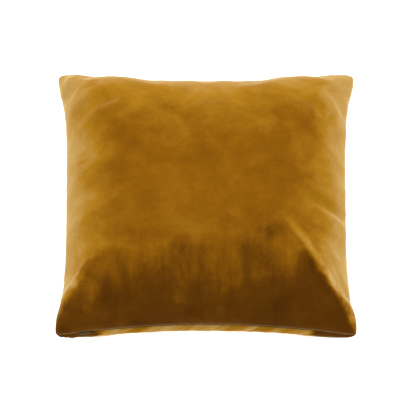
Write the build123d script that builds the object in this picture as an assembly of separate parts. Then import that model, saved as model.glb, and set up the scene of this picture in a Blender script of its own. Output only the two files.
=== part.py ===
from build123d import *
import math
import os

# Square velvet throw pillow: a zipped cover over a filled inner pad, lying on its back.
#
# Frame, in millimetres: the pillow rests on Z = 0 with its front face up. X runs along the
# zipped edge, +Y runs from the zipped edge to the far edge, and the origin is under the middle.
# The cover's two panels meet in a seam, which lies in one level plane and bows inwards
# between the corners. The zip is let into the -Y side of that seam, and follows its bow.

# Driving dimensions
SPAN = 484.0  # corner to corner along an edge, at the seam
EDGE_BOW = 19.5  # how far the middle of each edge pulls in
CORNER_RADIUS = 13.0
SEAM_HEIGHT = 66.0  # level of the seam plane above the surface that the pillow rests on
FRONT_CROWN = 85.0  # rise of the front panel above the seam
BACK_CROWN = 80.0  # fall of the back panel below the seam, before the floor flattens it
SEAM_NIP = 2.5  # how far the stitches draw the seam line in from the walls beside it
NIP_RISE = 5.0  # height over which most of that draw fades out

VELVET = 1.4  # thickness of the cover's pile fabric
TICKING = 0.6  # thickness of the inner pad's plain fabric
COVER_TO_PAD = 1.6  # free space between the cover and the pad
PAD_TO_FILLING = 0.5
ALLOWANCE = 11.0  # width of the cover's turned-in seam allowance
PAD_ALLOWANCE = 6.0
PAD_SEAM_INSET = 18.0  # the pad's seam lies this far inside the cover's, clear of its allowance
GROOVE_RISE = 12.0  # height over which the pad swells most of the way out past the allowance

# Zip: depths run inwards from the seam line, heights from the seam plane, places along the seam
ZIP_HALF = 180.0  # half the length of its row of coils
SLIT_HALF = 0.8  # half the gap between the two lips of fabric, which the slider's neck runs in
LIP_DEPTH = 0.2  # outer face of the turned-back allowance
TAPE_DEPTH = 1.8
TAPE_THICKNESS = 0.6
TAPE_WIDTH = 12.0
COIL_DEPTH = 2.5
COIL_THICKNESS = 2.0
COIL_WIDTH = 2.4
SLIDER_LENGTH = 9.0
SLIDER_START = -182.5  # place of the neck at rest, just past the last coil turn
PIN_DEPTH = -2.2
PIN_RADIUS = 0.62
PULL_LENGTH = 22.0
PULL_WIDTH = 4.0
PULL_THICKNESS = 1.0
PULL_LEAN = 2.0  # degrees that the pull stands off the seam at rest

CROWN_LEVELS = (0.18, 0.34, 0.50, 0.65, 0.78, 0.88, 0.95, 0.985)
HALF_DIAGONAL = math.sqrt(0.5)

# The walls' outline at the seam: four arcs that bow inwards, joined by four small corner arcs
CORNER_REACH = SPAN / 2 + SEAM_NIP
EDGE_MIDDLE = CORNER_REACH - EDGE_BOW
CORNER_CENTRE = CORNER_REACH - CORNER_RADIUS
EDGE_RADIUS = (CORNER_CENTRE**2 + EDGE_BOW**2 - 2 * EDGE_BOW * CORNER_RADIUS) / (2 * EDGE_BOW)
SEAM_Y = SEAM_NIP - EDGE_MIDDLE  # middle of the zipped edge, on the seam line
TRACK_AXIS = Axis((0, -EDGE_MIDDLE - EDGE_RADIUS, 0), (0, 0, 1))
TRACK_RADIUS = EDGE_RADIUS + SEAM_NIP


# ---------------------------------------------------------------- pillow envelope


def outline(level, inset, z):
    """Section at height z, where the crown has risen to this share of its full height."""
    middle = (EDGE_MIDDLE - inset) * (1 - level**2) ** 0.25
    side_radius = (EDGE_RADIUS + inset) / (1 - level**2)
    spread = (1 - ((1 - level) / (1 - level**2)) ** 0.25) / (1 - HALF_DIAGONAL)
    corner_radius = math.hypot(max(CORNER_RADIUS - inset, 4.0), spread * middle)
    side_centre = middle + side_radius
    reach = side_radius + corner_radius
    corner_centre = (side_centre - math.sqrt(2 * reach**2 - side_centre**2)) / 2
    join_x = side_centre - side_radius * (side_centre - corner_centre) / reach
    join_y = side_radius * corner_centre / reach
    tip = corner_centre + corner_radius * HALF_DIAGONAL
    edges = []
    for quarter in range(4):
        start, bow, join, corner, end = [
            Vector(x, y, z).rotate(Axis.Z, 90 * quarter)
            for x, y in (
                (join_x, -join_y),
                (middle, 0),
                (join_x, join_y),
                (tip, tip),
                (join_y, join_x),
            )
        ]
        edges += [Edge.make_three_point_arc(start, bow, join)]
        edges += [Edge.make_three_point_arc(join, corner, end)]
    return Face(Wire(edges))


def half_body(side, crown, inset, nip, nip_rise, first_rise=0.0, last_rise=None):
    """Solid from the seam plane to the crown, above the seam (side 1) or below it (side -1)."""
    top = CROWN_LEVELS[-1] * crown if last_rise is None else last_rise
    rises = [nip_rise, 2 * nip_rise] + [level * crown for level in CROWN_LEVELS]
    between = sorted(rise for rise in rises if first_rise + 2 < rise < top - 2)
    sections = []
    for rise in [first_rise] + between + [top]:
        drawn = nip * max(0.0, 1 - rise / (2 * nip_rise)) ** 2
        sections.append(outline(rise / crown, inset + drawn, SEAM_HEIGHT + side * rise))
    return loft(sections, ruled=True)


def seam_ring(outer_inset, inner_inset, low, high):
    """Flat band that follows the seam, between two insets and two heights from the seam."""
    z = SEAM_HEIGHT + low
    outer = extrude(outline(0, outer_inset, z), amount=high - low, dir=(0, 0, 1))
    inner = extrude(outline(0, inner_inset, z), amount=high - low, dir=(0, 0, 1))
    return outer - inner


def half_shell(side, crown, inset, thickness, nip, nip_rise, allowance, last_rise=None):
    """Panel of one fabric thickness, with its seam allowance turned in along the seam plane."""
    inner_last = None if last_rise is None else last_rise - thickness
    inner_inset = inset + thickness
    inner_crown = crown - thickness
    outer = half_body(side, crown, inset, nip, nip_rise, 0.0, last_rise)
    inner = half_body(side, inner_crown, inner_inset, nip, nip_rise, thickness, inner_last)
    low = SEAM_HEIGHT + min(0, side * thickness)
    mouth = extrude(outline(0, inset + nip + allowance, low), amount=thickness, dir=(0, 0, 1))
    return outer - inner - mouth


# ---------------------------------------------------------------- zip track


def track_angle(place):
    """Degrees round the track's axis from the middle of the zipped edge to a place on it."""
    return -math.degrees(place / TRACK_RADIUS)


def at_track(shape, place):
    """Moves a shape built at the middle of the track to a place along it."""
    return shape.rotate(TRACK_AXIS, track_angle(place))


def along_track(section, start, end):
    """Sweeps a section, drawn across the track at X = 0, from one place along it to another."""
    return revolve(at_track(section, end), axis=TRACK_AXIS, revolution_arc=-track_angle(end - start))


def track_section(depth, thickness, low, high):
    """Rectangle across the track, from a depth inwards and between two heights."""
    y = SEAM_Y + depth
    corners = [
        Vector(0, y, SEAM_HEIGHT + low),
        Vector(0, y + thickness, SEAM_HEIGHT + low),
        Vector(0, y + thickness, SEAM_HEIGHT + high),
        Vector(0, y, SEAM_HEIGHT + high),
    ]
    return Face(Wire.make_polygon(corners, close=True))


def side_section(side, depth, thickness, near, far):
    """The same, between two distances above (side 1) or below (side -1) the seam plane."""
    low, high = sorted((side * near, side * far))
    return track_section(depth, thickness, low, high)


# ---------------------------------------------------------------- cover


def cover_panel(side):
    """Front (1) or back (-1) velvet panel, with its allowance turned back along the zip."""
    crown = FRONT_CROWN if side > 0 else BACK_CROWN
    floor = None if side > 0 else SEAM_HEIGHT
    panel = half_shell(side, crown, 0, VELVET, SEAM_NIP, NIP_RISE, ALLOWANCE, floor)
    mouth = side_section(side, VELVET, ALLOWANCE + 4, -1, VELVET)
    slit = track_section(-6, 14, -SLIT_HALF, SLIT_HALF)
    lip = side_section(side, LIP_DEPTH, VELVET, SLIT_HALF, SLIT_HALF + 10)
    panel -= along_track(mouth, -ZIP_HALF - 8, ZIP_HALF + 8)
    panel -= along_track(slit, -ZIP_HALF - 8, ZIP_HALF + 8)
    return panel + along_track(lip, -ZIP_HALF - 6, ZIP_HALF + 6)


def zip_gap():
    """Stretch of the seam that the zip takes the place of."""
    return along_track(track_section(-3, 22, -6, 6), -ZIP_HALF - 9, ZIP_HALF + 9)


def cover_seam_thread():
    """Needle thread and bobbin thread of the lockstitch that closes the cover's seam."""
    near, far = SEAM_NIP + 2.4, SEAM_NIP + 2.9
    needle = seam_ring(near, far, VELVET, VELVET + 0.4) - zip_gap()
    bobbin = seam_ring(near, far, -VELVET - 0.4, -VELVET) - zip_gap()
    return Compound([*needle.solids(), *bobbin.solids()])


def cover_overlock():
    """Overlock thread wrapped round the raw edges of both allowances."""
    edge = SEAM_NIP + ALLOWANCE
    wrap = seam_ring(edge - 3.0, edge + 0.6, -VELVET - 0.4, VELVET + 0.4)
    fabric = seam_ring(edge - 6.0, edge, -VELVET, VELVET)
    return wrap - fabric - zip_gap()


def care_label():
    """Blank label sewn into the side seam, lying between the cover and the pad."""
    near, far = VELVET + 0.4, VELVET + 1.0
    outer = half_body(1, FRONT_CROWN - near, near, SEAM_NIP, NIP_RISE, VELVET + 1)
    inner = half_body(1, FRONT_CROWN - far, far, SEAM_NIP, NIP_RISE, VELVET + 1)
    window = Pos(SPAN / 2 - 20, -120, SEAM_HEIGHT + 28) * Box(60, 28, 46)
    return (outer - inner) & window


# ---------------------------------------------------------------- zip


def zip_tape(side):
    tape = side_section(side, TAPE_DEPTH, TAPE_THICKNESS, 0.9, 0.9 + TAPE_WIDTH)
    return along_track(tape, -ZIP_HALF - 6, ZIP_HALF + 6)


def zip_coil(side):
    """Row of coil turns on the inner face of its tape, as the round-edged bar that they fill."""
    y = SEAM_Y + COIL_DEPTH + COIL_THICKNESS / 2
    z = SEAM_HEIGHT + side * COIL_WIDTH / 2
    across = Plane(origin=(0, y, z), x_dir=(0, 1, 0), z_dir=(1, 0, 0))
    section = across * RectangleRounded(COIL_THICKNESS, COIL_WIDTH, 0.6)
    return along_track(section, -ZIP_HALF, ZIP_HALF)


def zip_closed_end_stops():
    """Two clips, one on each tape, that stop the slider at the closed end."""
    clips = [side_section(side, COIL_DEPTH, 1.8, 0.9, 2.5) for side in (1, -1)]
    return Compound([along_track(clip, -ZIP_HALF - 5.5, -ZIP_HALF - 3.8) for clip in clips])


def zip_open_end_stop():
    """One wide clip across both tapes that the slider meets when the cover is open."""
    clip = track_section(COIL_DEPTH, 2.0, -2.6, 2.6)
    return along_track(clip, ZIP_HALF + 0.3, ZIP_HALF + 3.3)


def zip_stitching():
    """Line of stitches that holds each tape to its turned-back allowance."""
    depth = TAPE_DEPTH + TAPE_THICKNESS
    lines = [side_section(side, depth, 0.4, 7.5, 8.0) for side in (1, -1)]
    return Compound([along_track(line, -ZIP_HALF - 5, ZIP_HALF + 5) for line in lines])


def zip_slider():
    """Channel round the coils inside the cover, a neck through the slit, and an eye outside."""
    near, far = 2.2 - SLIDER_LENGTH / 2, 2.2 + SLIDER_LENGTH / 2
    back_depth = COIL_DEPTH + COIL_THICKNESS + 0.3
    body = along_track(track_section(back_depth, 1.1, -3.7, 3.7), near, far)
    for side in (1, -1):
        wall = side_section(side, COIL_DEPTH + 0.3, back_depth - COIL_DEPTH, 2.8, 3.7)
        body += along_track(wall, near, far)
    body += along_track(track_section(PIN_DEPTH, back_depth - PIN_DEPTH + 0.5, -0.5, 0.5), -1.1, 1.1)
    pin = Pos(0, SEAM_Y + PIN_DEPTH, SEAM_HEIGHT)
    body += pin * Cylinder(1.5, 1.0)
    return at_track(body - pin * Cylinder(PIN_RADIUS + 0.1, 4.0), SLIDER_START)


def zip_pull():
    """Flat tab with a fork, whose pin turns in the slider's eye. It lies along the seam."""
    tab = Pos(-2.4 - PULL_LENGTH / 2, 0, 0) * Box(PULL_LENGTH - 2, PULL_THICKNESS, PULL_WIDTH)
    tab = fillet(tab.edges().filter_by(Axis.Y), 1.2)
    tab -= Pos(-PULL_LENGTH + 2.5, 0, 0) * Rot(90, 0, 0) * Cylinder(1.0, 4)
    for side in (1, -1):
        arm = Box(4.6, PULL_THICKNESS, 0.9)
        tab += Pos(-1.8, 0, side * (PULL_WIDTH / 2 - 0.45)) * arm
    pull = (tab + Cylinder(PIN_RADIUS, PULL_WIDTH)).rotate(Axis.Z, PULL_LEAN)
    return at_track(Pos(0, SEAM_Y + PIN_DEPTH, SEAM_HEIGHT) * pull, SLIDER_START)


# ---------------------------------------------------------------- inner pad

PAD_INSET = VELVET + COVER_TO_PAD
PAD_NIP = PAD_SEAM_INSET - PAD_INSET
FILLING_INSET = PAD_INSET + TICKING + PAD_TO_FILLING
FILLING_NIP = PAD_NIP + PAD_ALLOWANCE


def pad_panel(side):
    """Front (1) or back (-1) panel of the pad's plain ticking case."""
    crown = (FRONT_CROWN if side > 0 else BACK_CROWN) - PAD_INSET
    floor = None if side > 0 else SEAM_HEIGHT - PAD_INSET
    return half_shell(side, crown, PAD_INSET, TICKING, PAD_NIP, GROOVE_RISE, PAD_ALLOWANCE, floor)


def pad_seam_thread():
    """Lockstitch of the pad's seam, as its two threads."""
    near, far = PAD_SEAM_INSET + 2.0, PAD_SEAM_INSET + 2.5
    needle = seam_ring(near, far, TICKING, TICKING + 0.4)
    bobbin = seam_ring(near, far, -TICKING - 0.4, -TICKING)
    return Compound([needle, bobbin])


def pad_closing_stitch():
    """Straight topstitch over the gap that the filling went in by, on the far edge."""
    ring = seam_ring(PAD_SEAM_INSET + 4.0, PAD_SEAM_INSET + 4.5, TICKING, TICKING + 0.4)
    return ring & (Pos(0, SPAN / 2 - 40, SEAM_HEIGHT) * Box(150, 80, 20))


def pad_label():
    """Blank label on the pad's front, near its side seam."""
    near, far = VELVET + 0.5, VELVET + 1.0
    outer = half_body(1, FRONT_CROWN - near, near, PAD_NIP, GROOVE_RISE, 6.0)
    inner = half_body(1, FRONT_CROWN - far, far, PAD_NIP, GROOVE_RISE, 6.0)
    window = Pos(20 - SPAN / 2, 90, SEAM_HEIGHT + 40) * Box(60, 34, 50)
    return (outer - inner) & window


def pad_filling():
    """Loose fibre that fills the pad, as the solid it packs into."""
    front_crown = FRONT_CROWN - FILLING_INSET
    back_crown = BACK_CROWN - FILLING_INSET
    floor = SEAM_HEIGHT - FILLING_INSET
    front = half_body(1, front_crown, FILLING_INSET, FILLING_NIP, GROOVE_RISE)
    back = half_body(-1, back_crown, FILLING_INSET, FILLING_NIP, GROOVE_RISE, 0.0, floor)
    return front + back


# ---------------------------------------------------------------- pieces

PIECES = {
    "cover_front_panel": cover_panel(1),
    "cover_back_panel": cover_panel(-1),
    "cover_seam_thread": cover_seam_thread(),
    "cover_overlock_thread": cover_overlock(),
    "care_label": care_label(),
    "zip_tape_upper": zip_tape(1),
    "zip_tape_lower": zip_tape(-1),
    "zip_coil_upper": zip_coil(1),
    "zip_coil_lower": zip_coil(-1),
    "zip_closed_end_stops": zip_closed_end_stops(),
    "zip_open_end_stop": zip_open_end_stop(),
    "zip_stitching": zip_stitching(),
    "zip_slider": zip_slider(),
    "zip_pull": zip_pull(),
    "pad_front_panel": pad_panel(1),
    "pad_back_panel": pad_panel(-1),
    "pad_seam_thread": pad_seam_thread(),
    "pad_closing_stitch": pad_closing_stitch(),
    "pad_label": pad_label(),
    "pad_filling": pad_filling(),
}

os.makedirs("parts", exist_ok=True)
for name, piece in PIECES.items():
    export_step(piece, f"parts/{name}.step")
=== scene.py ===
"""Velvet throw pillow: cover, concealed zip and filled inner pad, lying on its back panel.

Metres, in the CAD model's frame: Z up, the zipped edge towards -Y. Every layer of the pillow is
the same two crowned halves at its own inset, sharing one set of folds, so the layers nest.
"""

import math

import bpy
import numpy as np
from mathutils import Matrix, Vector, noise


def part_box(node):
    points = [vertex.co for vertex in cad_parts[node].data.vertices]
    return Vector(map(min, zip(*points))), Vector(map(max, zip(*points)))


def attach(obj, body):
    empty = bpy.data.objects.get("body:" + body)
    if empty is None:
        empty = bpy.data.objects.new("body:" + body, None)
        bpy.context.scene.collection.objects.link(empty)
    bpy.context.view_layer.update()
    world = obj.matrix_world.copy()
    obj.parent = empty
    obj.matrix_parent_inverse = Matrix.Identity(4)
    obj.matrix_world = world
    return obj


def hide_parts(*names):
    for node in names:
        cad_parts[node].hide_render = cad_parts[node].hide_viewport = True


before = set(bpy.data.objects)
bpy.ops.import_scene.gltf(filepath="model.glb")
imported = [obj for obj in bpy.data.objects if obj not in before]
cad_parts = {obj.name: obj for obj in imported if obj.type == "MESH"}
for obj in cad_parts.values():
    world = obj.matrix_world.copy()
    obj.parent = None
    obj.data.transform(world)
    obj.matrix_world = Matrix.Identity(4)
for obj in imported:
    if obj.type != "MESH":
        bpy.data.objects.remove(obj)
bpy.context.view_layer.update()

# Sizes of the pillow, from the frame
FRONT_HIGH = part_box("cover_front_panel")[1]
SEAM_LOW, SEAM_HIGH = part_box("cover_seam_thread")
COIL_LOW, COIL_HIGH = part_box("zip_coil_upper")
SEAM_Z = (SEAM_LOW.z + SEAM_HIGH.z) / 2
THREAD_INSET = 0.0049  # from the corners' furthest reach in to the seam's thread
CORNER_REACH = SEAM_HIGH.x + THREAD_INSET  # where the walls' edges reach at the corners
CROWN_SHARE = 0.985  # share of the front crown's full height that the CAD panel's top stands at
FRONT_CROWN = (FRONT_HIGH.z - SEAM_Z) / CROWN_SHARE
BACK_CROWN = 0.080  # more than the seam's height over the floor, so that the back panel lies flat
FLOOR_EASE = 0.004  # height over which the back panel's curve runs out into its flat rest
BELLY = 0.0040  # how far the back panel swells out under the zipped edge
BELLY_DROP = 0.016  # height below the seam at which it swells most
BELLY_SPREAD = 24  # exponent that keeps the belly to the zipped edge's wall
BELLY_ENDS = 6  # exponent that ends the belly at the corners
FULLNESS = 4.0  # exponent of the crown: higher is flatter on top and steeper at the edge

EDGE_BOW = 0.0195  # how far each edge pulls in between its corners
NEAR_LOBES = 0.35  # share of the side edges' bow that the near corners' lobes fill out
FAR_LOBES = 0.30
BOW_EASE = 0.0012  # rounds off the meeting of the zipped edge's arc and the corners
CORNER_RADIUS = 0.013
CORNER_CENTRE = CORNER_REACH - CORNER_RADIUS
EDGE_RADIUS = (CORNER_CENTRE**2 + EDGE_BOW**2 - 2 * EDGE_BOW * CORNER_RADIUS) / (2 * EDGE_BOW)
SEAM_NIP = 0.0025  # how far the seam draws in, past the bow
NIP_RISE = 0.010  # height over the seam where that drawing in starts
NIP_SPREAD = 24  # exponent that keeps it to the walls
VELVET = 0.0014
ALLOWANCE = 0.011

# The zip follows an arc that the seam bows to
TRACK_RADIUS = EDGE_RADIUS + SEAM_NIP
TRACK_Y = EDGE_BOW - CORNER_REACH - EDGE_RADIUS
ZIP_HALF = (COIL_HIGH.x - COIL_LOW.x) / 2
LIP_HALF = 0.0006  # half the gap between the lips, whose pile nearly closes the slit
TAPE_DEPTH = 0.0024  # inner face of the tapes, in from the seam line
COIL_DEPTH = 0.0035
COIL_RISE = 0.00147  # clear of the slider's neck, which runs between the two rows
COIL_PITCH = 0.0015
COIL_OVAL = (0.0007, 0.00065)  # half depth and half height of a turn
COIL_WIRE = 0.00027
COIL_END = 0.0006  # how much shorter the coils are than their CAD ones, clear of the end stop
PAST_ZIP = 0.010  # how far past the coils the cover's own seam starts
LIPS_PART = (0.0135, 0.0075)  # how far past the coils the lips start to part, and have parted
LIP_TURN = 0.00155  # how far behind its lip's face the allowance lies, turned back
LIP_LENGTH = 0.0092
TAPE_STITCH_RISES = (0.0062, 0.0078)

# The inner pad: its seam lies clear of the cover's allowance
TICKING = 0.0006
PAD_INSET = 0.0030
PAD_NIP = 0.0150
PAD_NIP_RISE = 0.024
PAD_NIP_SPREAD = 10
PAD_SLACK = 0.018  # share by which the pad's corners fall short of the cover's
PAD_CLEARANCE = 0.25  # share of each fold that the pad stays further in by
PAD_ALLOWANCE = 0.006
PAD_STITCH_DEPTH = 0.0022
PAD_CLOSING_DEPTH = 0.0042
FILLING_INSET = 0.0041
FILLING_NIP = 0.0235

# Cells along each way of each layer's grid
COVER_CELLS = 190
PAD_CELLS = 130
FILLING_CELLS = 110


# ---------------------------------------------------------------- form


def smooth_step(low, high, value):
    """Smooth step from 0 at low to 1 at high, or falling where low is the higher of the two."""
    t = np.clip((value - low) / (high - low), 0.0, 1.0)
    return t * t * (3 - 2 * t)


def panel_coordinates(cells):
    """Fabric coordinates of a panel, -1 to 1 each way, closer together towards the seams."""
    steps = np.sin(np.linspace(-1, 1, cells + 1) * math.pi / 2)
    return np.meshgrid(steps, steps, indexing="ij")


def rounded(u, v):
    """Draws the square's corners in to rounds, and leaves the rest alone."""
    drawn = (1 - math.sqrt(0.5)) * CORNER_RADIUS / CORNER_REACH
    sharpness = (1 / drawn - 1) / 2
    shrink = 1 - drawn * abs(u * v) ** sharpness
    return u * shrink, v * shrink


def side_bow(v):
    """How far a side edge pulls in: most along its middle, and less by the near corners' lobes."""
    near = NEAR_LOBES * smooth_step(0.76, 0.90, -v)
    far = FAR_LOBES * smooth_step(0.78, 0.94, v)
    return EDGE_BOW * (1 - v**4) * (1 - near - far)


def zip_edge_bow(x, inset):
    """How far the zipped edge and the far edge pull in: the arc that the zip runs along."""
    radius = EDGE_RADIUS + inset
    rest = EDGE_BOW - (radius - np.sqrt(radius**2 - x**2))
    return 0.5 * (rest + np.hypot(rest, BOW_EASE))


def half_form(side, u, v, inset=0.0, nip=SEAM_NIP, nip_rise=NIP_RISE):
    """Points of one crowned half, above the seam (side 1) or below it (side -1).

    The inner pad's layers, whose nip is wide, also draw in at the corners and stay off the belly.
    """
    inner = nip > SEAM_NIP
    crown = (FRONT_CROWN if side > 0 else BACK_CROWN) - inset
    level = np.sqrt(np.maximum((1 - abs(u) ** FULLNESS) * (1 - abs(v) ** FULLNESS), 0))
    rise = crown * level
    ru, rv = rounded(u, v)
    reach = CORNER_REACH - inset
    x = ru * (reach - side_bow(rv))
    y = rv * (reach - zip_edge_bow(x, inset))
    if side < 0 and not inner:
        swell = (rise / BELLY_DROP * np.exp(1 - rise / BELLY_DROP)) ** 2
        y -= BELLY * swell * (1 - u**BELLY_ENDS) * np.maximum(-v, 0) ** BELLY_SPREAD
    drawn = nip * np.maximum(0, 1 - rise / nip_rise) ** 2
    spread = PAD_NIP_SPREAD if inner else NIP_SPREAD
    x -= drawn * np.sign(u) * abs(u) ** spread
    y -= drawn * np.sign(v) * abs(v) ** spread
    if inner:
        slack = 1 - PAD_SLACK * abs(u * v) ** 3
        x = x * slack
        y = y * slack
    return np.stack([x, y, SEAM_Z + side * rise], axis=-1), rise


def surface_normals(points, side):
    """Unit normals of a grid of points, out of the pillow."""
    along = np.gradient(points, axis=0)
    across = np.gradient(points, axis=1)
    normals = side * np.cross(along, across)
    return normals / np.maximum(np.linalg.norm(normals, axis=-1, keepdims=True), 1e-12)


def rest_on_floor(points, level):
    """Flattens what would reach below a level, easing into the flat over a short height."""
    z = (points[..., 2] - level) / FLOOR_EASE
    eased = np.log1p(np.exp(np.minimum(z, 30.0)))
    points[..., 2] = level + FLOOR_EASE * np.where(z > 30, z, eased)
    return points


# ---------------------------------------------------------------- folds

PUCKER_HEIGHTS = {1: 0.0014, -1: 0.0030}  # by side
PUCKER_LOW = -0.0005  # the deepest that one goes: the zip's tapes stand close behind the wall
PUCKER_RISE = 0.010  # height from the seam at which they are fullest
PUCKER_LEAN = 4
FOLD_SPREAD = 0.45  # share of a fold's height that it also stands out level, on the side walls

# Creases pressed into the front panel by its corners: route on the plan, half width, height.
# A negative height is a hollow. Each crease falls off more steeply on the right of its route.
FRONT_CREASES = [
    # near right corner: one long crease up from the corner, a hollow to its left, two softer ones
    (
        [(0.142, -0.088), (0.158, -0.126), (0.178, -0.160), (0.200, -0.188), (0.223, -0.213)],
        0.0090,
        0.0092,
    ),
    ([(0.122, -0.096), (0.140, -0.138), (0.162, -0.176), (0.186, -0.206)], 0.018, -0.0045),
    ([(0.184, -0.085), (0.200, -0.120), (0.214, -0.148), (0.226, -0.178)], 0.0085, 0.0040),
    ([(0.200, -0.126), (0.213, -0.160), (0.224, -0.188)], 0.008, -0.0035),
    # near left corner
    ([(-0.180, -0.135), (-0.198, -0.160), (-0.214, -0.178), (-0.232, -0.190)], 0.010, 0.0060),
    ([(-0.176, -0.162), (-0.196, -0.184), (-0.214, -0.199)], 0.011, -0.0040),
    ([(-0.146, -0.160), (-0.172, -0.192), (-0.194, -0.214)], 0.014, 0.0025),
    # far left corner
    ([(-0.236, 0.192), (-0.228, 0.205), (-0.214, 0.222)], 0.009, 0.0055),
    ([(-0.230, 0.176), (-0.216, 0.194), (-0.196, 0.212)], 0.010, -0.0030),
    ([(-0.228, 0.146), (-0.200, 0.166), (-0.160, 0.182)], 0.013, 0.0056),
    ([(-0.220, 0.126), (-0.190, 0.143), (-0.145, 0.160)], 0.013, -0.0044),
    ([(-0.214, 0.096), (-0.179, 0.119), (-0.135, 0.145)], 0.014, 0.0040),
    ([(-0.208, 0.068), (-0.175, 0.092), (-0.145, 0.114)], 0.014, -0.0032),
    # far right corner
    ([(0.160, 0.180), (0.186, 0.163), (0.205, 0.142), (0.224, 0.112)], 0.013, 0.0056),
    ([(0.136, 0.176), (0.166, 0.158), (0.194, 0.134)], 0.013, -0.0048),
    ([(0.192, 0.210), (0.213, 0.194), (0.227, 0.170)], 0.010, 0.0032),
    ([(0.178, 0.200), (0.205, 0.180), (0.222, 0.152)], 0.010, -0.0030),
    ([(0.160, 0.108), (0.190, 0.090), (0.214, 0.060)], 0.014, 0.0034),
    # right side
    ([(0.156, -0.002), (0.190, -0.020), (0.220, -0.026)], 0.011, 0.0046),
    ([(0.156, -0.026), (0.190, -0.038), (0.220, -0.044)], 0.010, -0.0040),
    ([(0.164, -0.042), (0.192, -0.056), (0.220, -0.062)], 0.010, 0.0040),
    ([(0.170, 0.050), (0.195, 0.036), (0.218, 0.010)], 0.012, 0.0030),
    # left side
    ([(-0.220, 0.026), (-0.195, 0.034), (-0.160, 0.052)], 0.014, 0.0034),
    ([(-0.222, -0.020), (-0.196, -0.012), (-0.168, 0.006)], 0.014, -0.0016),
    ([(-0.222, -0.060), (-0.200, -0.062), (-0.172, -0.050)], 0.014, 0.0030),
    # zipped edge
    ([(-0.010, -0.186), (-0.007, -0.206), (-0.012, -0.224)], 0.007, 0.0024),
    ([(0.124, -0.194), (0.122, -0.212), (0.126, -0.224)], 0.007, 0.0024),
    ([(-0.088, -0.180), (-0.090, -0.196), (-0.084, -0.212)], 0.009, -0.0014),
    ([(0.060, -0.178), (0.064, -0.196), (0.058, -0.212)], 0.010, -0.0014),
]

BACK_CREASES = [
    ([(0.150, -0.120), (0.180, -0.150), (0.205, -0.185), (0.228, -0.210)], 0.013, 0.0040),
    ([(0.170, -0.100), (0.200, -0.140), (0.224, -0.180)], 0.012, -0.0035),
    ([(-0.150, -0.130), (-0.182, -0.160), (-0.206, -0.190), (-0.228, -0.210)], 0.013, 0.0038),
    ([(-0.172, -0.110), (-0.204, -0.146), (-0.226, -0.176)], 0.012, -0.0032),
    ([(-0.140, 0.130), (-0.175, 0.160), (-0.205, 0.188), (-0.228, 0.210)], 0.014, 0.0040),
    ([(-0.172, 0.112), (-0.200, 0.140), (-0.224, 0.172)], 0.012, -0.0032),
    ([(0.145, 0.125), (0.178, 0.158), (0.206, 0.186), (0.228, 0.210)], 0.013, 0.0040),
    ([(0.120, 0.150), (0.160, 0.188), (0.190, 0.216)], 0.012, -0.0032),
]


def crease_height(x, y, route, width, height):
    """Height of one crease over the plan: a rounded ridge, steeper on the right of its route."""
    nearest = np.full(x.shape, 1e9)
    signed = np.zeros(x.shape)
    along = np.zeros(x.shape)
    lengths = [math.dist(a, b) for a, b in zip(route, route[1:])]
    done = 0.0
    for (ax, ay), (bx, by), length in zip(route, route[1:], lengths):
        dx = (bx - ax) / length
        dy = (by - ay) / length
        run = np.clip((x - ax) * dx + (y - ay) * dy, 0, length)
        off_x = x - ax - run * dx
        off_y = y - ay - run * dy
        distance = np.hypot(off_x, off_y)
        closer = distance < nearest
        nearest = np.where(closer, distance, nearest)
        signed = np.where(closer, np.sign(dx * off_y - dy * off_x) * distance, signed)
        along = np.where(closer, done + run, along)
        done += length
    span = np.where(signed < 0, 0.7 * width, 1.3 * width)
    ends = smooth_step(0, 0.22, along / done) * smooth_step(0, 0.12, 1.06 - along / done)
    return height * ends * np.exp(-((signed / span) ** 2))


def noise_at(points, scale, seed):
    """Smooth noise, about -1 to 1, at each point of a grid."""
    flat = points.reshape(-1, 3) * scale + np.array([seed * 17.3, seed * 5.1, seed * 9.7])
    values = [noise.noise(Vector(p)) for p in flat.tolist()]
    return np.array(values).reshape(points.shape[:-1])


def seam_puckers(points, rise, side):
    """Short gathers that the stitches pull into the wall beside the seam."""
    x, y = points[..., 0], points[..., 1]
    # the place along the seam, as a point on the seam's outline drawn out from the middle
    turn = np.arctan2(y, x)
    outline = np.stack([np.cos(turn), np.sin(turn), 0 * turn + side], axis=-1)
    # they lean as they leave the seam, so the noise is read further along as the wall rises
    ahead = np.stack([-outline[..., 1], outline[..., 0], 0 * turn], axis=-1)
    leaning = outline + rise[..., None] * ahead * PUCKER_LEAN
    gather = noise_at(leaning, 22.0, 3) + 0.8 * noise_at(leaning, 55.0, 4)
    depth = (rise / PUCKER_RISE * np.exp(1 - rise / PUCKER_RISE)) ** 3
    return np.maximum(PUCKER_HEIGHTS[side] * gather, PUCKER_LOW) * depth


def hand_folds(points, rise, side):
    """Height of every modelled fold over one panel, fading out at the seam."""
    x, y = points[..., 0], points[..., 1]
    height = np.zeros(x.shape)
    for route, width, tall in FRONT_CREASES if side > 0 else BACK_CREASES:
        height += crease_height(x, y, route, width, tall)
    soft = 0.0016 * noise_at(points, 9.0, 1) + 0.0008 * noise_at(points, 21.0, 2)
    return height * smooth_step(0.0, 0.016, rise) + soft * smooth_step(0, 0.03, rise)


# ---------------------------------------------------------------- cloth

CLOTH_CELLS = 84
CLOTH_FRAMES = 20
CLOTH_EXCESS = 0.045  # how much wider each panel is cut than the form that it fills
CLOTH_PRESSURE = 4
WRINKLE_PASSES = 60  # blurring that parts the fine wrinkles from the even swelling
WRINKLE_CAP = 0.0035


def border_indices(cells):
    """Vertex numbers round the edge of a grid, in order."""
    index = np.arange((cells + 1) ** 2).reshape(cells + 1, cells + 1)
    return np.concatenate([index[:-1, 0], index[-1, :-1], index[:0:-1, -1], index[0, :0:-1]])


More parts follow.
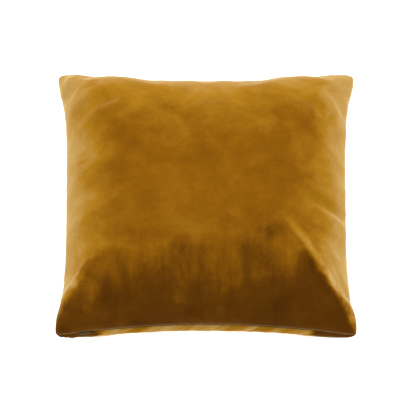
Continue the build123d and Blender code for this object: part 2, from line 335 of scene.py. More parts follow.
def grid_faces(cells, flip):
    """Square faces of a grid, turned over for the lower side."""
    index = np.arange((cells + 1) ** 2).reshape(cells + 1, cells + 1)
    quads = np.stack([index[:-1, :-1], index[1:, :-1], index[1:, 1:], index[:-1, 1:]], axis=-1)
    quads = quads.reshape(-1, 4)
    return (quads[:, ::-1] if flip else quads).tolist()


def blurred(field, passes):
    """Grid field with its small detail smoothed away, held at its border."""
    for _ in range(passes):
        padded = np.pad(field, ((1, 1), (1, 1), (0, 0)), mode="edge")
        field = (padded[:-2, 1:-1] + padded[2:, 1:-1] + padded[1:-1, :-2] + padded[1:-1, 2:]) / 4
    return field


def joined_halves(front, back):
    """Both halves of a layer joined along their shared edge.

    Returns points and faces, and the number that each point of the two grids has among them.
    """
    cells = front.shape[0] - 1
    count = (cells + 1) ** 2
    border = border_indices(cells)
    same = np.arange(2 * count)
    same[count + border] = border
    kept, number = np.unique(same, return_inverse=True)
    number = number.reshape(-1)
    points = np.concatenate([front.reshape(-1, 3), back.reshape(-1, 3)])[kept]
    faces = grid_faces(cells, False) + (np.array(grid_faces(cells, True)) + count).tolist()
    return points, number[np.array(faces)].tolist(), number


def simulate_cover():
    """Inflates both panels, cut a little too big and stitched along the seam.

    Returns how far each panel's points move, less the even swelling, as grids by side.
    """
    u, v = panel_coordinates(CLOTH_CELLS)
    front, back = (half_form(side, u, v)[0] for side in (1, -1))
    points, faces, number = joined_halves(front, back)
    mesh = bpy.data.meshes.new("cloth_trial")
    mesh.from_pydata(points.tolist(), [], faces)
    obj = bpy.data.objects.new("cloth_trial", mesh)
    bpy.context.scene.collection.objects.link(obj)
    pins = obj.vertex_groups.new(name="seam")
    pins.add(number[border_indices(CLOTH_CELLS)].tolist(), 1.0, "REPLACE")
    cloth = obj.modifiers.new("cloth", "CLOTH")
    settings = cloth.settings
    settings.quality = 6
    settings.mass = 0.25
    settings.tension_stiffness = 25
    settings.compression_stiffness = 25
    settings.shear_stiffness = 8
    settings.bending_stiffness = 0.35
    settings.use_pressure = True
    settings.uniform_pressure_force = CLOTH_PRESSURE
    settings.shrink_min = -CLOTH_EXCESS
    settings.vertex_group_mass = "seam"
    settings.effector_weights.gravity = 0
    cloth.collision_settings.use_collision = False
    cloth.point_cache.frame_end = CLOTH_FRAMES
    for step in range(1, CLOTH_FRAMES + 1):
        bpy.context.scene.frame_set(step)
    graph = bpy.context.evaluated_depsgraph_get()
    moved = obj.evaluated_get(graph).data
    end = np.zeros(len(moved.vertices) * 3)
    moved.vertices.foreach_get("co", end)
    drift = (end.reshape(-1, 3) - points)[number].reshape(2, *front.shape)
    bpy.context.scene.frame_set(1)
    bpy.data.objects.remove(obj)
    bpy.data.meshes.remove(mesh)
    return {side: wrinkles_of(drift[i]) for i, side in enumerate((1, -1))}


def wrinkles_of(drift):
    """The fine part of a simulated move, softly capped."""
    fine = drift - blurred(drift, WRINKLE_PASSES)
    size = np.linalg.norm(fine, axis=-1, keepdims=True)
    return fine * WRINKLE_CAP * np.tanh(size / WRINKLE_CAP) / np.maximum(size, 1e-9)


def cubic_weights(cells_from, cells_to):
    """Matrix that resamples evenly spaced values with a Catmull-Rom curve."""
    weights = np.zeros((cells_to + 1, cells_from + 1))
    for row in range(cells_to + 1):
        place = row / cells_to * cells_from
        start = min(int(place), cells_from - 1)
        t = place - start
        parts = (
            -0.5 * t**3 + t**2 - 0.5 * t,
            1.5 * t**3 - 2.5 * t**2 + 1,
            -1.5 * t**3 + 2 * t**2 + 0.5 * t,
            0.5 * t**3 - 0.5 * t**2,
        )
        for offset, part in zip((-1, 0, 1, 2), parts):
            weights[row, min(max(start + offset, 0), cells_from)] += part
    return weights


def resampled(field, cells):
    """Grid field at another number of cells."""
    weights = cubic_weights(field.shape[0] - 1, cells)
    return np.einsum("ai,ijk,bj->abk", weights, field, weights)


# ---------------------------------------------------------------- layers


def cover_moves(side):
    """How far each point of a cover panel moves from the plain form: its folds and wrinkles."""
    u, v = panel_coordinates(COVER_CELLS)
    points, rise = half_form(side, u, v)
    height = hand_folds(points, rise, side) + seam_puckers(points, rise, side)
    lift = surface_normals(points, side) * np.array([FOLD_SPREAD, FOLD_SPREAD, 1.0])
    moves = lift * height[..., None]
    if WRINKLES:
        fade = smooth_step(0.004, 0.034, rise)[..., None]
        moves = moves + resampled(blurred(WRINKLES[side], 2), COVER_CELLS) * fade
    return moves


def inner_moves(moves, rise):
    """The cover's moves as the layers inside follow them, which stay out of its seam's puckers."""
    return moves * smooth_step(0.012, 0.032, rise)[..., None]


def layer_grid(side, cells, inset=0.0, nip=SEAM_NIP, nip_rise=NIP_RISE):
    """One half of one layer of the pillow, with the folds of the cover round it."""
    u, v = panel_coordinates(cells)
    points, rise = half_form(side, u, v, inset, nip, nip_rise)
    moves = MOVES[side] if cells == COVER_CELLS else resampled(MOVES[side], cells)
    if nip > SEAM_NIP:
        moves = inner_moves(moves, rise)
        clear = PAD_CLEARANCE * np.linalg.norm(moves, axis=-1)[..., None]
        points = points - clear * surface_normals(points, side)
    points = points + moves
    return rest_on_floor(points, inset) if side < 0 else points


def inward(loop):
    """Unit vectors that point into a closed counterclockwise loop, level with it."""
    along = np.roll(loop, -1, axis=0) - np.roll(loop, 1, axis=0)
    turned = np.stack([-along[:, 1], along[:, 0], 0 * along[:, 0]], axis=-1)
    return turned / np.maximum(np.linalg.norm(turned, axis=1, keepdims=True), 1e-9)


def make_piece(name, points, faces, material, slot):
    """Smooth-shaded mesh object that rides on the cushion."""
    mesh = bpy.data.meshes.new(name)
    mesh.from_pydata(points.tolist(), [], faces)
    mesh.update()
    mesh.materials.append(material)
    mesh.polygons.foreach_set("use_smooth", [True] * len(mesh.polygons))
    obj = bpy.data.objects.new(name, mesh)
    bpy.context.scene.collection.objects.link(obj)
    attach(obj, "cushion")
    return obj


def thicken(obj, thickness, weights=None):
    """Gives a sheet its thickness, inwards, less where the weights are under 1."""
    skin = obj.modifiers.new("thickness", "SOLIDIFY")
    skin.thickness = thickness
    skin.offset = -1
    if weights is not None:
        group = obj.vertex_groups.new(name="pressed")
        for index, weight in enumerate(weights.tolist()):
            group.add([index], weight, "REPLACE")
        skin.vertex_group = "pressed"
    graph = bpy.context.evaluated_depsgraph_get()
    mesh = bpy.data.meshes.new_from_object(obj.evaluated_get(graph))
    obj.modifiers.clear()
    obj.vertex_groups.clear()
    obj.data = mesh


def on_zipped_edge(points):
    """Whether each point is by the zipped edge, and not by another."""
    return points[:, 1] < -0.15


def panel_piece(name, side, grid, thickness, allowance, material, slot, zipped=False):
    """Panel with its seam allowance turned in, as a closed skin of the fabric's thickness.

    Along a zip the two panels' lips stand apart, and the allowance is turned back behind them.
    """
    points = grid.reshape(-1, 3).copy()
    border = border_indices(grid.shape[0] - 1)
    loop = points[border]
    into = inward(loop)
    up = np.array([0.0, 0.0, side])
    parting, parted = (ZIP_HALF + past for past in LIPS_PART)
    zip_share = smooth_step(parting, parted, abs(loop[:, 0]))
    zip_share *= zipped * on_zipped_edge(loop)
    points[border] += (LIP_HALF * zip_share)[:, None] * up
    rings = []
    for share in (0.25, 0.6, 1.0):
        flat = loop + into * allowance * share
        turned = loop + into * LIP_TURN + up * (LIP_HALF + LIP_LENGTH * share)
        rings.append(flat + (turned - flat) * zip_share[:, None])
    faces = grid_faces(grid.shape[0] - 1, flip=side < 0)
    count = len(points)
    previous = border
    for ring in rings:
        current = np.arange(count, count + len(ring))
        count += len(ring)
        corners = [np.roll(previous, -1), previous, current, np.roll(current, -1)]
        faces += np.stack(corners if side > 0 else corners[::-1], axis=-1).tolist()
        previous = current
    everything = np.concatenate([points, *rings])
    obj = make_piece(name, everything, faces, material, slot)
    zip_place = (abs(everything[:, 0]) < ZIP_HALF + PAST_ZIP) & on_zipped_edge(everything)
    near_lip = smooth_step(0.0055, 0.0015, abs(everything[:, 2] - SEAM_Z))
    near_lip[len(points) :] = 1
    thicken(obj, thickness, 1 - 0.5 * zip_place * near_lip if zipped else None)
    return obj


# ---------------------------------------------------------------- threads and labels

LABEL_GAP = 0.0007
LABEL_THICKNESS = 0.0003
STITCH_RADIUS = 0.0002
STITCH_LIFT = 0.00015  # a stitch's middle over the face that it lies on
SEAM_STITCH = 0.003  # length of a stitch
OVERLOCK_PITCH = 0.0017
OVERLOCK_DEPTH = 0.0016  # half the width of the overlocked edge
OVERLOCK_INSET = 0.0012  # from the raw edge in to the middle of its overlocking
NEEDLE_INSET = 0.0028  # from the raw edge in to the overlocking's needle thread


def seam_route(depth, inset=0.0, nip=SEAM_NIP, nip_rise=NIP_RISE):
    """Closed route that follows a layer's seam, a depth inwards of it, from its far edge."""
    steps = np.linspace(-1, 1, 241)[:-1]
    ones = np.ones(len(steps))
    u = np.concatenate([-steps, -ones, steps, ones])
    v = np.concatenate([ones, -steps, -ones, steps])
    loop = half_form(1, u, v, inset, nip, nip_rise)[0]
    return loop + inward(loop) * depth


def track_route(start, end, depth, height, step=0.002):
    """Route along the zip, a depth inwards of the seam line and a height over it."""
    turn = np.linspace(start, end, max(2, round((end - start) / step))) / TRACK_RADIUS
    radius = TRACK_RADIUS + depth
    x = radius * np.sin(turn)
    y = TRACK_Y + radius * np.cos(turn)
    return np.stack([x, y, 0 * turn + SEAM_Z + height], axis=-1)


def spaced(route, spacing, closed=False):
    """The same route with evenly spaced points, and unit vectors along it."""
    if closed:
        route = np.concatenate([route, route[:1]])
    run = np.concatenate([[0], np.cumsum(np.linalg.norm(np.diff(route, axis=0), axis=1))])
    count = max(2, round(run[-1] / spacing))
    places = np.linspace(0, run[-1], count + 1)
    points = np.stack([np.interp(places, run, route[:, axis]) for axis in range(3)], axis=-1)
    along = np.gradient(points, axis=0)
    return points, along / np.linalg.norm(along, axis=1, keepdims=True)


def past_zip(route):
    """The part of a closed route round the seam that the zip doesn't take the place of."""
    kept = (abs(route[:, 0]) > ZIP_HALF + PAST_ZIP) | ~on_zipped_edge(route)
    start = int(np.argmax(kept & ~np.roll(kept, 1)))
    return np.roll(route, -start, axis=0)[: int(kept.sum())]


def tubes(strands, radii, up, sides=6):
    """Points and faces of round tubes. strands is (tube, place, 3), and up isn't along them."""
    tangent = np.gradient(strands, axis=1)
    across = np.cross(tangent, up)
    across /= np.linalg.norm(across, axis=-1, keepdims=True)
    lift = np.cross(across, tangent)
    lift /= np.linalg.norm(lift, axis=-1, keepdims=True)
    turn = np.arange(sides) * 2 * math.pi / sides
    ring = np.cos(turn)[:, None] * across[:, :, None] + np.sin(turn)[:, None] * lift[:, :, None]
    points = strands[:, :, None] + ring * np.asarray(radii)[None, :, None, None]
    count, places = strands.shape[:2]
    index = np.arange(count * places * sides).reshape(count, places, sides)
    beside = np.roll(index, -1, axis=2)
    walls = [index[:, :-1], beside[:, :-1], beside[:, 1:], index[:, 1:]]
    faces = np.stack(walls, axis=-1).reshape(-1, 4).tolist()
    faces += index[:, 0, ::-1].tolist() + index[:, -1].tolist()
    return points.reshape(-1, 3), faces


def merged(*parts):
    """Joins several (points, faces) pairs into one."""
    points, faces = [], []
    for part_points, part_faces in parts:
        offset = sum(len(p) for p in points)
        points.append(part_points)
        faces += [[i + offset for i in face] for face in part_faces]
    return np.concatenate(points), faces


def stitch_row(route, length, radius, outward, closed=False):
    """Lockstitches along a route, each one dipping into its needle hole at both ends."""
    points, _ = spaced(route, length, closed)
    shares = np.array([0.03, 0.12, 0.3, 0.5, 0.7, 0.88, 0.97])
    dips = np.array([-1.1, -0.1, 0.15, 0.25, 0.15, -0.1, -1.1]) * radius
    start, end = points[:-1, None], points[1:, None]
    outward = np.asarray(outward, dtype=float)
    strands = start + (end - start) * shares[None, :, None] + outward * dips[None, :, None]
    return tubes(strands, radius * np.array([0.5, 0.85, 1, 1.05, 1, 0.85, 0.5]), outward)


def oval(value):
    """Sine or cosine of a turn, drawn out towards a round-cornered oval."""
    return np.sign(value) * abs(value) ** 0.75


def wound(route, pitch, depth, height, radius, per_turn=8, phase=0.0, sides=5):
    """Thread wound along a route, in a round-cornered oval of this half depth and half height."""
    points, along = spaced(route, pitch / per_turn)
    angle = phase + np.arange(len(points)) * 2 * math.pi / per_turn
    sideways = np.cross(np.array([0, 0, 1.0]), along)
    strand = points + sideways * (depth * oval(np.cos(angle)))[:, None]
    strand[:, 2] += height * oval(np.sin(angle))
    return tubes(strand[None], np.full(len(strand), radius), along[None], sides)


def moves_at(side, u, v):
    """The cover's moves at any fabric coordinates, between the points of its grid."""
    place_u = (np.arcsin(u) / math.pi + 0.5) * COVER_CELLS
    place_v = (np.arcsin(v) / math.pi + 0.5) * COVER_CELLS
    low_u = place_u.astype(int)
    low_v = place_v.astype(int)
    share_u = (place_u - low_u)[..., None]
    share_v = (place_v - low_v)[..., None]
    moves = MOVES[side]
    low = moves[low_u, low_v] * (1 - share_v) + moves[low_u, low_v + 1] * share_v
    high = moves[low_u + 1, low_v] * (1 - share_v) + moves[low_u + 1, low_v + 1] * share_v
    return low * (1 - share_u) + high * share_u


def label_piece(name, nip, nip_rise, centre, width, low, high, turned, material):
    """Label between the cover and the pad: a strip of a layer's side wall between two heights.

    turned is 1 on the right wall and -1 on the left one.
    """
    side = 1
    inset = VELVET + LABEL_GAP
    crown = FRONT_CROWN - inset
    reach = CORNER_REACH - inset - EDGE_BOW
    across = (centre + np.linspace(-0.5, 0.5, 17) * width) / reach
    rises = np.linspace(low, high, 29)
    v = np.tile(across, (len(rises), 1))
    level = rises[:, None] / crown / np.sqrt(1 - v**4)
    u = turned * (1 - level**2) ** 0.25
    points, rise = half_form(side, u, v, inset, nip, nip_rise)
    moves = moves_at(side, u, v)
    points = points + (inner_moves(moves, rise) if nip > SEAM_NIP else moves)
    rows, columns = v.shape
    index = np.arange(rows * columns).reshape(rows, columns)
    quads = np.stack([index[:-1, :-1], index[:-1, 1:], index[1:, 1:], index[1:, :-1]], axis=-1)
    quads = quads.reshape(-1, 4)
    faces = (quads if turned > 0 else quads[:, ::-1]).tolist()
    obj = make_piece(name, points.reshape(-1, 3), faces, material, "label")
    thicken(obj, LABEL_THICKNESS)
    return obj


# ---------------------------------------------------------------- materials


class Shader:
    """A material's node tree, with short calls for the nodes that these materials use."""

    def __init__(self, name):
        self.material = bpy.data.materials.new(name)
        self.material.use_nodes = True
        self.nodes = self.material.node_tree.nodes
        self.links = self.material.node_tree.links
        self.surface = self.nodes["Principled BSDF"]
        self.place = self.nodes.new("ShaderNodeTexCoord").outputs["Object"]

    def link(self, value, socket):
        """Feeds an input from another node's output, or sets it to a plain value."""
        if hasattr(value, "is_output"):
            self.links.new(value, socket)
        else:
            socket.default_value = value

    def math(self, operation, *values):
        node = self.nodes.new("ShaderNodeMath")
        node.operation = operation
        for value, socket in zip(values, node.inputs):
            self.link(value, socket)
        return node.outputs[0]

    def sum(self, *terms):
        """Total of its terms: a value or a socket each, or a pair of one and its share."""
        total = 0.0
        for term in terms:
            value = self.math("MULTIPLY", *term) if isinstance(term, tuple) else term
            total = self.math("ADD", value, total)
        return total

    def wave(self, value, length):
        """Sine wave of a length in metres, from 0 to 1."""
        turn = self.math("MULTIPLY", value, 2 * math.pi / length)
        return self.math("MULTIPLY_ADD", self.math("SINE", turn), 0.5, 0.5)

    def span(self, value, low, high, start=0.0, end=1.0):
        """Smooth step of a value from one range to another."""
        node = self.nodes.new("ShaderNodeMapRange")
        node.interpolation_type = "SMOOTHSTEP"
        self.link(value, node.inputs["Value"])
        ends = {"From Min": low, "From Max": high, "To Min": start, "To Max": end}
        for name, number in ends.items():
            node.inputs[name].default_value = number
        return node.outputs["Result"]

    def axes(self):
        """Place along X, Y and Z, as three sockets."""
        node = self.nodes.new("ShaderNodeSeparateXYZ")
        self.links.new(self.place, node.inputs[0])
        return node.outputs

    def joined(self, *parts):
        """Vector from three values or sockets."""
        node = self.nodes.new("ShaderNodeCombineXYZ")
        for part, socket in zip(parts, node.inputs):
            self.link(part, socket)
        return node.outputs[0]

    def stretched(self, scale):
        """Place with its axes scaled, for patterns that are longer one way."""
        node = self.nodes.new("ShaderNodeMapping")
        node.inputs["Scale"].default_value = scale
        self.links.new(self.place, node.inputs["Vector"])
        return node.outputs["Vector"]

    def noise(self, scale, detail=2.0, roughness=0.5, distortion=0.0, place=None):
        node = self.nodes.new("ShaderNodeTexNoise")
        node.inputs["Scale"].default_value = scale
        node.inputs["Detail"].default_value = detail
        node.inputs["Roughness"].default_value = roughness
        node.inputs["Distortion"].default_value = distortion
        self.links.new(place or self.place, node.inputs["Vector"])
        return node.outputs["Fac"]

    def ramp(self, factor, stops):
        """Colour for each value of a factor, between stops of (place, colour)."""
        node = self.nodes.new("ShaderNodeValToRGB")
        elements = node.color_ramp.elements
        while len(elements) < len(stops):
            elements.new(0.5)
        for element, (place, colour) in zip(elements, stops):
            element.position = place
            element.color = (*colour, 1)
        self.links.new(factor, node.inputs["Fac"])
        return node.outputs["Color"]

    def bump(self, height, distance, strength=1.0):
        node = self.nodes.new("ShaderNodeBump")
        node.inputs["Distance"].default_value = distance
        node.inputs["Strength"].default_value = strength
        self.links.new(height, node.inputs["Height"])
        self.links.new(node.outputs["Normal"], self.surface.inputs["Normal"])

    def set(self, **inputs):
        """Sets inputs of the surface shader, named with _ for each space."""
        for name, value in inputs.items():
            self.link(value, self.surface.inputs[name.replace("_", " ")])


# Velvet from the darkest lie of its nap, with painted shade where it is seen into the pile, to the
# lightest, with painted sheen
NAP_SHADE_TO_SHEEN_COLOURS = [
    (0.00, (0.062, 0.019, 0.0006)),
    (0.25, (0.105, 0.035, 0.0008)),
    (0.48, (0.200, 0.074, 0.0012)),
    (0.72, (0.315, 0.145, 0.0060)),
    (1.00, (0.430, 0.268, 0.0780)),
]


def velvet_material():
    """Short-pile velvet, mottled, with painted sheen at the edges and painted shade, partly its
    nap's lie, by the zip.
    """
    velvet = Shader("mustard_velvet")
    x, y, z = velvet.axes()
    drift = velvet.noise(13, detail=6, roughness=0.62, distortion=0.35)
    mottle = velvet.noise(45, detail=4, roughness=0.65)
    fingers = velvet.noise(34, detail=3, roughness=0.6, place=velvet.stretched((1.0, 0.25, 0.25)))

    # painted sheen: lighter outside the creases that run up from the near corners, and along the
    # far edge
    away = velvet.math("ABSOLUTE", x)
    across_crease = velvet.sum(away, (y, 0.8), (x, 0.03), (drift, 0.045), (mottle, 0.03), -0.038)
    beyond_crease = velvet.span(across_crease, 0.046, 0.078)
    sides = velvet.span(velvet.sum(away, (drift, 0.06)), 0.165, 0.258)
    sides = velvet.math("MULTIPLY", sides, beyond_crease)
    far = velvet.span(velvet.sum(y, (drift, 0.10)), 0.10, 0.28)

    # painted shade, partly the nap's own darker lie: between those creases by the zipped edge, with
    # fingers reaching up, and round under the near corners
    upper = velvet.span(z, SEAM_Z - 0.001, SEAM_Z + 0.003)
    from_edge = velvet.sum(y, (drift, 0.12), (fingers, 0.16), (x, -0.13))
    near = velvet.span(from_edge, -0.105, 0.055, 1.0, 0.0)
    near_corner = velvet.span(velvet.sum(away, (y, -1.0)), 0.396, 0.414)
    near = velvet.math("MULTIPLY", near, velvet.math("MAXIMUM", upper, near_corner))
    near = velvet.math("MULTIPLY", near, velvet.math("SUBTRACT", 1.0, beyond_crease))

    # painted sheen on the back panel between those corners, and painted highlights and shade in
    # slanted streaks over its puckers along the zip
    under = velvet.math("SUBTRACT", 1.0, upper)
    painted_sheen = velvet.math("MAXIMUM", velvet.sum((sides, 0.44)), velvet.sum((far, 0.27)))
    open_under = velvet.math("MULTIPLY", under, velvet.math("SUBTRACT", 1.0, near_corner))
    painted_sheen = velvet.math("MAXIMUM", painted_sheen, velvet.sum((open_under, 0.32)))
    leaning = velvet.joined(velvet.sum(x, (z, -1.7)), velvet.sum((y, 0.15)), velvet.sum((z, 0.25)))
    slanted = velvet.noise(52, detail=4, roughness=0.62, distortion=0.35, place=leaning)
    slanted = velvet.span(slanted, 0.36, 0.66, -1.0, 1.0)
    by_zip = velvet.math("MULTIPLY", open_under, velvet.span(y, -0.16, -0.19))
    painted_pucker_streaks = velvet.math("MULTIPLY", slanted, by_zip)
    painted_pucker_streaks = velvet.math("MULTIPLY", painted_pucker_streaks, velvet.span(z, 0.012, 0.050))

    # painted highlight along the top of the long crease at the near right corner
    across_ridge = velvet.sum(x, (y, 0.66))
    ridge_highlight = velvet.span(across_ridge, 0.072, 0.081)
    ridge_highlight = velvet.math("MULTIPLY", ridge_highlight, velvet.span(across_ridge, 0.098, 0.083))
    ridge_highlight = velvet.math("MULTIPLY", ridge_highlight, velvet.span(y, -0.060, -0.100))

    # the velvet's own mottle and pile, with the painted sheen, shade and highlight above
    nap_shade_and_sheen = velvet.sum(0.19, painted_sheen, (ridge_highlight, 0.24), (near, -0.38), (drift, 0.42), (mottle, 0.16))
    nap_shade_and_sheen = velvet.sum(nap_shade_and_sheen, (painted_pucker_streaks, 0.15))
    pile = velvet.noise(380, detail=4, roughness=0.75)
    nap_shade_and_sheen = velvet.sum(nap_shade_and_sheen, -0.10, (pile, 0.20))
    velvet.set(
        Base_Color=velvet.ramp(nap_shade_and_sheen, NAP_SHADE_TO_SHEEN_COLOURS),
        Roughness=velvet.span(nap_shade_and_sheen, 0.0, 1.0, 0.95, 0.75),
        Specular_IOR_Level=0.03,
        Sheen_Weight=1.0,
        Sheen_Roughness=0.26,
        Sheen_Tint=(1.0, 0.85, 0.50, 1),
    )
    velvet.bump(velvet.noise(1400, detail=2), 0.0004, 0.5)
    return velvet.material


def thread_material(name, dark, light):
    """Spun thread: two plies twisted together, with a little fuzz in its colour."""
    thread = Shader(name)
    x, y, z = thread.axes()
    twist = thread.wave(thread.sum(x, y, z), 0.0006)
    fuzz = thread.noise(2600, detail=2)
    thread.set(
        Base_Color=thread.ramp(thread.sum((twist, 0.6), (fuzz, 0.4)), [(0.2, dark), (0.8, light)]),
        Roughness=0.62,
        Specular_IOR_Level=0.3,
        Sheen_Weight=0.35,
        Sheen_Roughness=0.4,
    )
    thread.bump(twist, 0.00008)
    return thread.material


def woven_material(name, dark, light, pitch, along, sheen=0.1):
    """Plain-woven fabric. along names the two axes that its threads run with."""
    cloth = Shader(name)
    axes = dict(zip("xyz", cloth.axes()))
    warp = cloth.wave(axes[along[0]], pitch)
    weft = cloth.wave(axes[along[1]], pitch)
    weave = cloth.math("ABSOLUTE", cloth.math("SUBTRACT", warp, weft))
    slub = cloth.noise(160, detail=3, place=cloth.stretched((1.0, 0.12, 0.3)))
    dust = cloth.noise(18, detail=3)
    shade = cloth.sum((weave, 0.45), (slub, 0.35), (dust, 0.25))
    cloth.set(
        Base_Color=cloth.ramp(shade, [(0.15, dark), (0.85, light)]),
        Roughness=0.85,
        Specular_IOR_Level=0.08,
        Sheen_Weight=sheen,
        Sheen_Roughness=0.5,
    )
    cloth.bump(cloth.sum((weave, 0.8), (slub, 0.2)), pitch / 6)
    return cloth.material


def coil_material():
    """Drawn nylon of the zip's coils: smooth and slightly clear, dyed a little unevenly."""
    nylon = Shader("zip_coil_nylon")
    dye = nylon.noise(320, detail=3)
    nylon.set(
        Base_Color=nylon.ramp(dye, [(0.3, (0.115, 0.052, 0.010)), (0.7, (0.190, 0.092, 0.020))]),
        Roughness=nylon.span(dye, 0.3, 0.7, 0.28, 0.42),
        Specular_IOR_Level=0.12,
    )
    nylon.bump(nylon.noise(1800, detail=1), 0.00003)
    return nylon.material


def metal_material():
    """Die-cast zip metal in a dark bronze paint, rubbed thin in small patches."""
    metal = Shader("zip_bronze_paint")
    rub = metal.noise(420, detail=5, roughness=0.7)
    grain = metal.noise(2400, detail=2)
    worn = metal.span(rub, 0.62, 0.72)
    metal.set(
        Base_Color=metal.ramp(worn, [(0.0, (0.050, 0.024, 0.008)), (1.0, (0.240, 0.150, 0.070))]),
        Metallic=metal.span(worn, 0.0, 1.0, 0.0, 0.8),
        Roughness=metal.span(grain, 0.3, 0.7, 0.42, 0.58),
        Specular_IOR_Level=0.15,
    )
    metal.bump(metal.sum((grain, 0.6), (rub, 0.4)), 0.00005)
    return metal.material


def filling_material():
    """Tangled hollow polyester fibre."""
    fibre = Shader("polyester_fibre")
    strand = fibre.noise(240, detail=6, roughness=0.75, distortion=2.5)
    clump = fibre.noise(28, detail=3)
    shade = fibre.sum((strand, 0.7), (clump, 0.4))
    fibre.set(
        Base_Color=fibre.ramp(shade, [(0.3, (0.62, 0.62, 0.60)), (0.7, (0.88, 0.88, 0.86))]),
        Roughness=0.95,
        Specular_IOR_Level=0.1,
        Sheen_Weight=0.4,
        Sheen_Roughness=0.6,
    )
    fibre.bump(strand, 0.0012)
    return fibre.material


# ---------------------------------------------------------------- stage


def make_stage():
    """White surround and a pale floor, just under the pillow."""
    bpy.context.scene.view_settings.view_transform = "Standard"
    world = bpy.data.worlds.new("studio")
    bpy.context.scene.world = world
    world.use_nodes = True
    background = world.node_tree.nodes["Background"]
    background.inputs["Color"].default_value = (1.0, 1.0, 1.0, 1)
    background.inputs["Strength"].default_value = 0.9
    floor_mesh = bpy.data.meshes.new("floor")
    half = 40.0
    corners = [(-half, -half, 0), (half, -half, 0), (half, half, 0), (-half, half, 0)]
    floor_mesh.from_pydata(corners, [], [(0, 1, 2, 3)])
    floor = bpy.data.objects.new("floor", floor_mesh)
    bpy.context.scene.collection.objects.link(floor)
    paper = Shader("pale_floor")
    paper.set(Base_Color=(0.9, 0.9, 0.9, 1), Roughness=0.95, Specular_IOR_Level=0.0)
    paper.set(Emission_Color=(1, 1, 1, 1), Emission_Strength=0.75)
    floor_mesh.materials.append(paper.material)
    floor.location.z = -0.0005


def area_light(name, location, target, size, power):
    """Square soft light, turned towards its target."""
    data = bpy.data.lights.new(name, "AREA")
    data.shape = "SQUARE"
    data.size = size
    data.energy = power
    light = bpy.data.objects.new(name, data)
    light.location = location
    light.rotation_euler = (Vector(target) - Vector(location)).to_track_quat("-Z", "Y").to_euler()
    bpy.context.scene.collection.objects.link(light)


def make_lights():
    """Two soft lights from behind the far edge, so that the nap's lie shows."""
    centre = (0, 0, SEAM_Z)
    area_light("key", (-1.2, 1.6, 2.2), centre, 1.6, 40)
    area_light("fill", (1.6, 0.6, 2.0), centre, 1.8, 25)


def make_camera():
    """Long lens, raised from the zipped edge's side, as a product picture is taken."""
    elevation = math.radians(59)
    distance = 11.5
    field = 0.6625  # width of the view, at the target
    data = bpy.data.cameras.new("camera")
    data.sensor_width = 36
    data.lens = data.sensor_width * distance / field
    data.clip_end = 60
    camera = bpy.data.objects.new("camera", data)
    target = Vector((0, -0.0037, SEAM_Z + 0.002))
    back = Vector((0, -math.cos(elevation), math.sin(elevation)))
    camera.location = target + back * distance
    camera.rotation_euler = (-back).to_track_quat("-Z", "Y").to_euler()
    bpy.context.scene.collection.objects.link(camera)
    bpy.context.scene.camera = camera


# ---------------------------------------------------------------- pieces


def make_cover(velvet):
    """The two velvet panels, with their allowances."""
    for name, side, node in (
        ("velvet_front_panel", 1, "cover_front_panel"),
        ("velvet_back_panel", -1, "cover_back_panel"),
    ):
        grid = layer_grid(side, COVER_CELLS)
        panel = panel_piece(name, side, grid, VELVET, ALLOWANCE, velvet, "velvet", zipped=True)
        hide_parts(node)


def make_cover_threads(sewing, overlocking):
    """The seam's stitches on both faces of the allowances, and the overlocking round their edge."""
    line = past_zip(seam_route(THREAD_INSET - SEAM_NIP + 0.0003))
    rows = []
    for side in (1, -1):
        row = line + [0, 0, side * (VELVET + STITCH_LIFT)]
        rows.append(stitch_row(row, SEAM_STITCH, STITCH_RADIUS, (0, 0, side)))
    seam = make_piece("lockstitch_seam", *merged(*rows), sewing, "sewing_thread")
    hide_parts("cover_seam_thread")
    edge = past_zip(seam_route(ALLOWANCE - OVERLOCK_INSET))
    height = VELVET + STITCH_RADIUS
    wrap = wound(edge, OVERLOCK_PITCH, OVERLOCK_DEPTH, height, STITCH_RADIUS)
    needle_line = past_zip(seam_route(ALLOWANCE - NEEDLE_INSET)) + [0, 0, height]
    needle = stitch_row(needle_line, 0.0025, 0.00018, (0, 0, 1))
    overlock = make_piece("overlock_edge", *merged(wrap, needle), overlocking, "overlock_thread")
    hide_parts("cover_overlock_thread")


def make_zip(nylon, sewing):
    """The zip's two coils, half a turn apart, and the stitches that hold its tapes."""
    for name, side, phase, node in (
        ("coil_upper", 1, 0.0, "zip_coil_upper"),
        ("coil_lower", -1, math.pi, "zip_coil_lower"),
    ):
        route = track_route(-ZIP_HALF, ZIP_HALF - COIL_END, COIL_DEPTH, side * COIL_RISE)
        turns = wound(route, COIL_PITCH, *COIL_OVAL, COIL_WIRE, 10, phase)
        coil = make_piece(name, *turns, nylon, "zip_coil")
        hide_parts(node)
    rows = []
    for side in (1, -1):
        for rise in TAPE_STITCH_RISES:
            reach = ZIP_HALF + 0.005
            line = track_route(-reach, reach, TAPE_DEPTH + 0.00012, side * rise)
            rows.append(stitch_row(line, 0.0027, STITCH_RADIUS, (0, 1, 0)))
    stitching = make_piece("tape_stitches", *merged(*rows), sewing, "sewing_thread")
    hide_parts("zip_stitching")


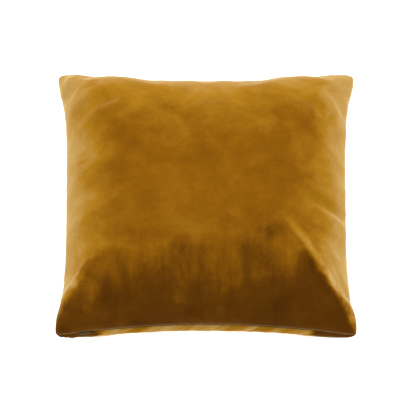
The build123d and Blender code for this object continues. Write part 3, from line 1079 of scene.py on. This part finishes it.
def make_pad(ticking, thread):
    """The inner pad's casing, its seam, and the topstitch over the gap that it was filled by."""
    for name, side, node in (
        ("ticking_front_panel", 1, "pad_front_panel"),
        ("ticking_back_panel", -1, "pad_back_panel"),
    ):
        grid = layer_grid(side, PAD_CELLS, PAD_INSET, PAD_NIP, PAD_NIP_RISE)
        panel = panel_piece(name, side, grid, TICKING, PAD_ALLOWANCE, ticking, "ticking")
        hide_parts(node)
    line = seam_route(PAD_STITCH_DEPTH, PAD_INSET, PAD_NIP, PAD_NIP_RISE)
    rows = []
    for side in (1, -1):
        row = line + [0, 0, side * (TICKING + STITCH_LIFT)]
        rows.append(stitch_row(row, SEAM_STITCH, STITCH_RADIUS, (0, 0, side), closed=True))
    seam = make_piece("pad_seam_stitches", *merged(*rows), thread, "pad_thread")
    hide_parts("pad_seam_thread")
    closing = seam_route(PAD_CLOSING_DEPTH, PAD_INSET, PAD_NIP, PAD_NIP_RISE)
    closing = closing[(closing[:, 1] > 0.15) & (abs(closing[:, 0]) < 0.075)]
    row = stitch_row(closing + [0, 0, TICKING + STITCH_LIFT], 0.0022, STITCH_RADIUS, (0, 0, 1))
    stitches = make_piece("pad_closing_topstitch", *row, thread, "pad_thread")
    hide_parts("pad_closing_stitch")


def make_filling(fibre):
    """The fibre's outer surface, a little clumped, joined along its edge."""
    shape = (FILLING_CELLS, FILLING_INSET, FILLING_NIP, PAD_NIP_RISE)
    grids = [layer_grid(side, *shape) for side in (1, -1)]
    for grid, side in zip(grids, (1, -1)):
        clumps = noise_at(grid, 60.0, 6) + 0.5 * noise_at(grid, 140.0, 7) - 1.0
        lift = abs(grid[..., 2] - SEAM_Z)
        depth = np.maximum(-clumps, 0.0) * 0.0012 * smooth_step(0.0, 0.02, lift)
        grid -= surface_normals(grid, side) * depth[..., None]
    points, faces, _ = joined_halves(*grids)
    filling = make_piece("fibre_filling", points, faces, fibre, "filling")
    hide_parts("pad_filling")


def make_labels(satin):
    """The cover's blank care label inside its right wall, and the pad's on its left one."""
    care = label_piece(
        "care_label_sheet",
        nip=SEAM_NIP,
        nip_rise=NIP_RISE,
        centre=-0.120,
        width=0.028,
        low=0.0025,
        high=0.051,
        turned=1,
        material=satin,
    )
    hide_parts("care_label")
    pad = label_piece(
        "pad_label_sheet",
        nip=PAD_NIP,
        nip_rise=PAD_NIP_RISE,
        centre=0.090,
        width=0.034,
        low=0.015,
        high=0.065,
        turned=-1,
        material=satin,
    )
    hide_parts("pad_label")


def finish_nodes(materials):
    """Gives the CAD nodes that stay their materials."""
    for names, material in materials:
        for name in names:
            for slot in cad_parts[name].material_slots:
                slot.material = material


make_stage()
make_lights()
make_camera()

WRINKLES = simulate_cover()
MOVES = {side: cover_moves(side) for side in (1, -1)}

sewing = thread_material("mustard_thread", (0.16, 0.065, 0.006), (0.42, 0.21, 0.03))
overlocking = thread_material("overlock_yarn", (0.14, 0.06, 0.008), (0.36, 0.18, 0.03))
pad_thread = thread_material("white_thread", (0.55, 0.54, 0.50), (0.82, 0.81, 0.78))
tape = woven_material("zip_tape_weave", (0.11, 0.045, 0.006), (0.26, 0.12, 0.02), 0.0008, "xz")
ticking = woven_material("cotton_ticking", (0.60, 0.58, 0.53), (0.86, 0.85, 0.81), 0.0012, "xy")
satin = woven_material("satin_label", (0.74, 0.74, 0.72), (0.90, 0.90, 0.88), 0.0005, "yz", 0.3)
metal = metal_material()

make_cover(velvet_material())
make_cover_threads(sewing, overlocking)
make_zip(coil_material(), sewing)
make_pad(ticking, pad_thread)
make_filling(filling_material())
make_labels(satin)
finish_nodes(
    [
        (("zip_tape_upper", "zip_tape_lower"), tape),
        (("zip_closed_end_stops", "zip_open_end_stop", "zip_slider", "zip_pull"), metal),
    ]
)
